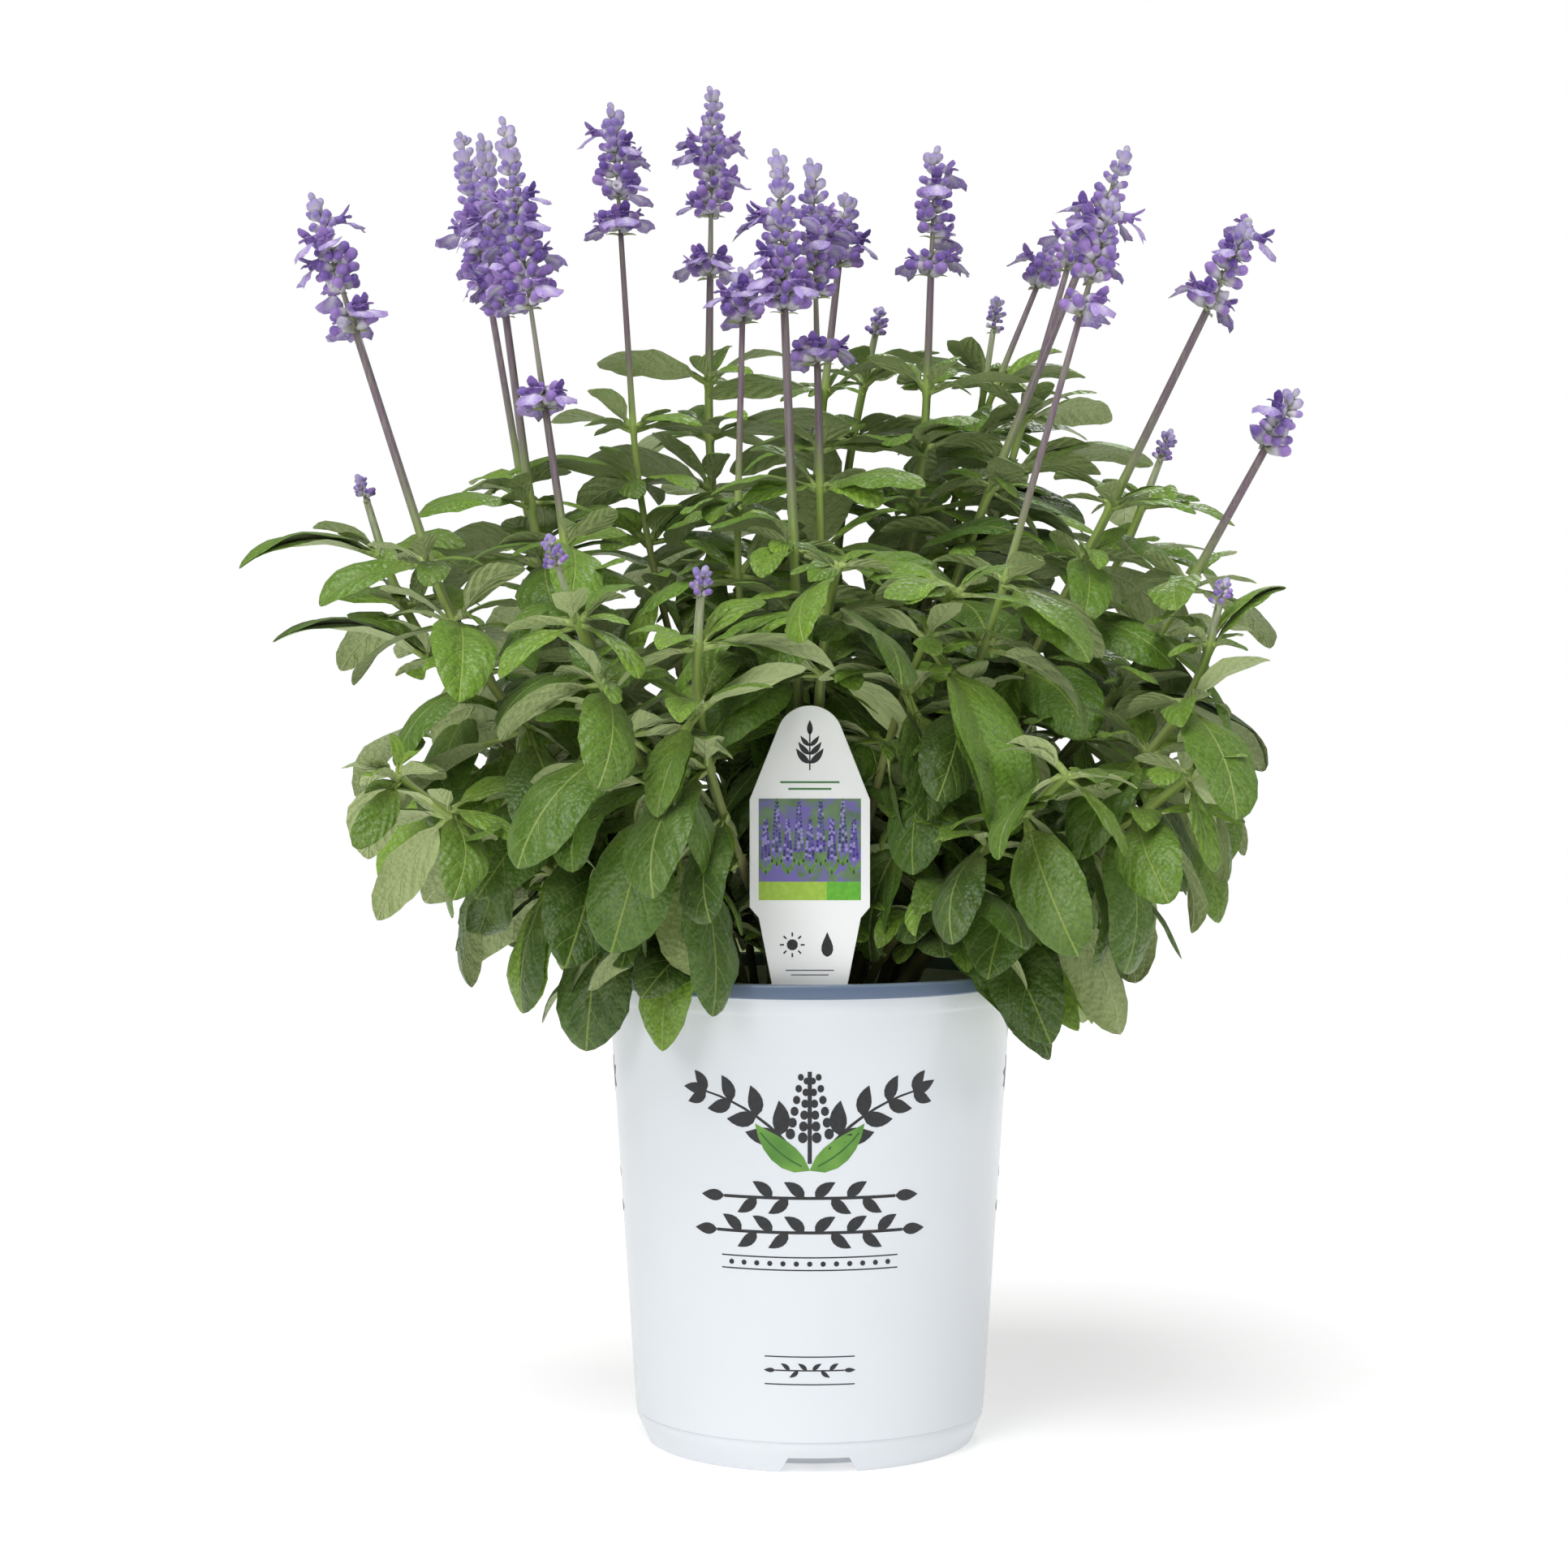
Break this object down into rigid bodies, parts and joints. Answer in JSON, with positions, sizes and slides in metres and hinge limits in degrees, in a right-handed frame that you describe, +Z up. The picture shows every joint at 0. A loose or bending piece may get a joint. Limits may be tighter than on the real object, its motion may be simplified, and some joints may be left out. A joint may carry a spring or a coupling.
{
  "type": "potted mealycup sage",
  "caption": "Bushy bedding sage with upright spikes of violet flowers, growing in a round tapered nursery pot with a stake label.",
  "frame": {"origin": "centre of the underside of the pot's raised floor pad, on the floor it stands on", "axes": "+Z up along the pot's axis, -Y towards the side whose rim carries the stake label"},
  "size_m": [0.4136, 0.3251, 0.555],
  "materials": {
    "pot_plastic": "gloss",
    "potting_mix": "matte",
    "label_plastic": "satin",
    "leaf": "satin",
    "flower": "matte"
  },
  "bodies": {
    "root": {"pot": "pot_plastic", "potting_mix": "potting_mix", "plant_label": "label_plastic", "leafy_stem_01": "leaf", "leafy_stem_02": "leaf", "leafy_stem_03": "leaf", "leafy_stem_04": "leaf", "leafy_stem_05": "leaf", "leafy_stem_06": "leaf", "leafy_stem_07": "leaf", "leafy_stem_08": "leaf", "leafy_stem_09": "leaf", "leafy_stem_10": "leaf", "leafy_stem_11": "leaf", "leafy_stem_12": "leaf", "leafy_stem_13": "leaf", "leafy_stem_14": "leaf", "leafy_stem_15": "leaf", "leafy_stem_16": "leaf", "leafy_stem_17": "leaf", "leafy_stem_18": "leaf", "leafy_stem_19": "leaf", "leafy_stem_20": "leaf", "leafy_stem_21": "leaf", "leafy_stem_22": "leaf", "leafy_stem_23": "leaf", "leafy_stem_24": "leaf", "leafy_stem_25": "leaf", "leafy_stem_26": "leaf", "leafy_stem_27": "leaf", "leafy_stem_28": "leaf", "leafy_stem_29": "leaf", "leafy_stem_30": "leaf", "leafy_stem_31": "leaf", "leafy_stem_32": "leaf", "leafy_stem_33": "leaf", "flower_head_01": "flower", "flower_head_02": "flower", "flower_head_03": "flower", "flower_head_04": "flower", "flower_head_05": "flower", "flower_head_06": "flower", "flower_head_07": "flower", "flower_head_08": "flower", "flower_head_09": "flower", "flower_head_10": "flower", "flower_head_11": "flower", "flower_head_12": "flower", "flower_head_13": "flower", "flower_head_14": "flower", "flower_head_15": "flower", "flower_head_16": "flower", "flower_head_17": "flower", "flower_head_18": "flower", "flower_head_19": "flower", "flower_head_20": "flower", "flower_head_21": "flower", "flower_head_22": "flower", "flower_head_23": "flower", "flower_head_24": "flower"}
  },
  "joints": []
}
